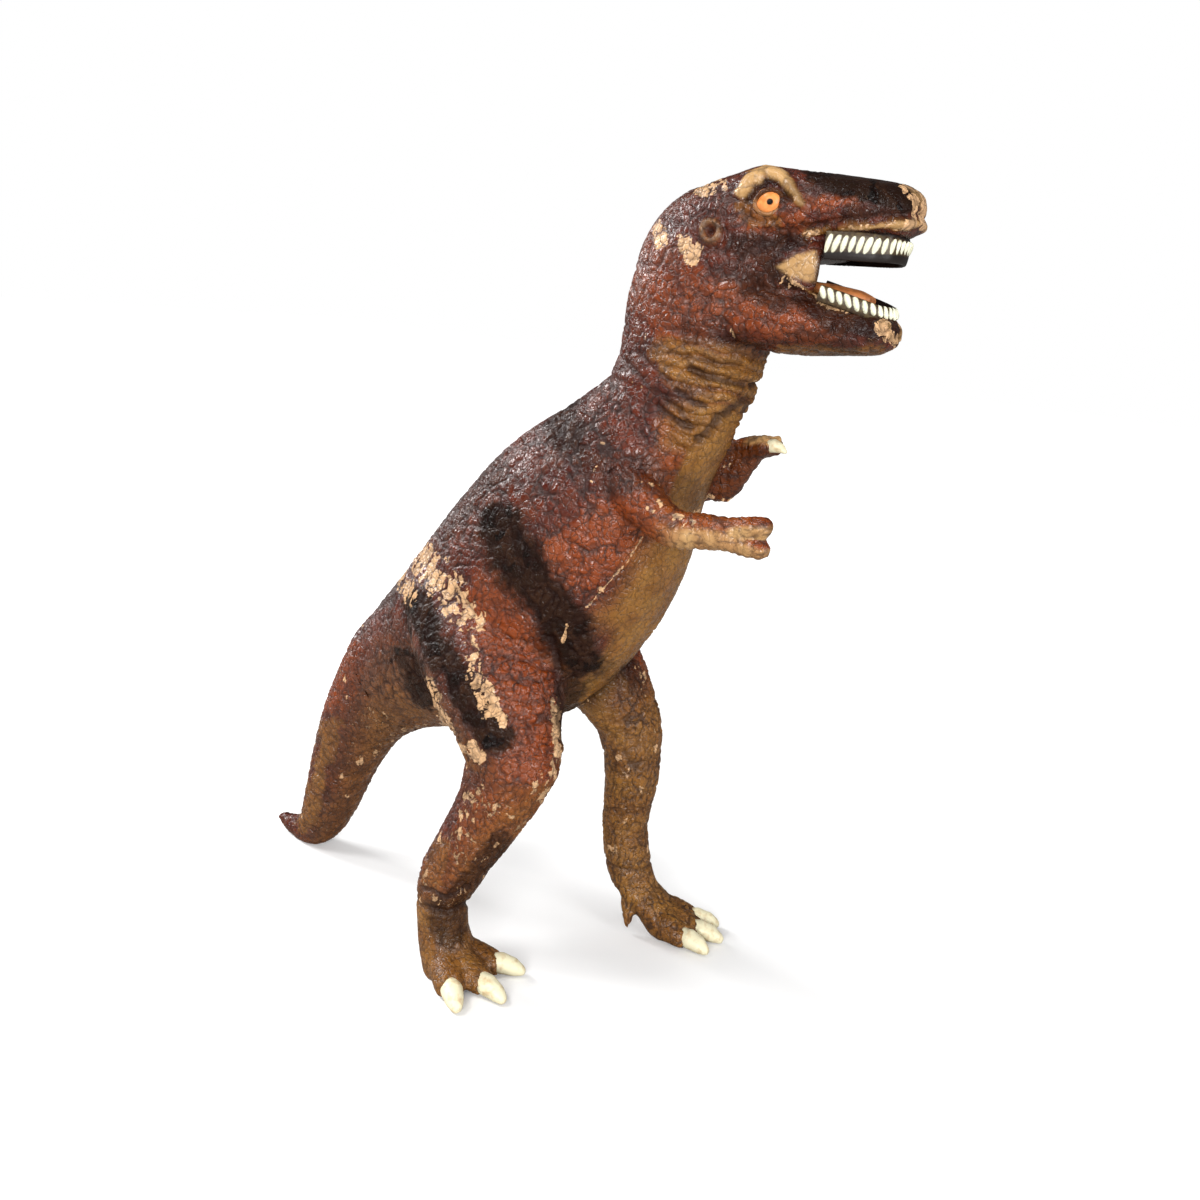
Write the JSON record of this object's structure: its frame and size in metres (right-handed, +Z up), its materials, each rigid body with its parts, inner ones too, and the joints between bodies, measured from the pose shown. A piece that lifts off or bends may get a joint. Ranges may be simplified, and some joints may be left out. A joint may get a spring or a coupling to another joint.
{
  "type": "toy dinosaur figure",
  "caption": "Upright two-legged dinosaur toy with a turning head, gaping toothed jaws, small arms and a tail that helps it stand.",
  "frame": {"origin": "middle of the figure's footprint box, on the surface it stands on", "axes": "+X ahead, where the head looks, +Y to the figure's left, +Z up"},
  "size_m": [0.2058, 0.0976, 0.2363],
  "materials": {
    "body_skin": "hand-painted red brown, semi-gloss",
    "leg_skin": "hand-painted tan brown, semi-gloss",
    "arm_skin": "hand-painted orange brown, semi-gloss",
    "head_skin": "hand-painted dark brown, semi-gloss",
    "ivory": "painted ivory",
    "tooth_white": "painted pale ivory",
    "mouth_dark": "painted near black",
    "mouth_orange": "painted orange",
    "eye_orange": "painted glossy orange with a black pupil",
    "bare_vinyl": "unpainted beige vinyl"
  },
  "bodies": {
    "torso": {"torso_right_shell": "body_skin", "torso_left_shell": "body_skin", "tail": "body_skin", "right_leg": "leg_skin", "left_leg": "leg_skin", "right_foot": "leg_skin", "left_foot": "leg_skin", "right_outer_claw": "ivory", "right_middle_claw": "ivory", "right_inner_claw": "ivory", "left_outer_claw": "ivory", "left_middle_claw": "ivory", "left_inner_claw": "ivory", "right_arm": "arm_skin", "left_arm": "arm_skin", "left_hand_claw": "ivory"},
    "head": {"head_shell": "head_skin", "lower_jaw": "head_skin", "upper_teeth": "tooth_white", "lower_teeth": "tooth_white", "palate": "mouth_dark", "mouth_floor": "mouth_orange", "right_eye": "eye_orange", "left_eye": "eye_orange", "neck_plug": "bare_vinyl"}
  },
  "joints": [
    {"name": "neck_swivel", "type": "hinge", "parent": "torso", "child": "head", "pos_m": [0.0433, 0.00082, 0.1785], "axis": [0.1219, 0, 0.9925], "range_deg": [-30, 30]}
  ]
}
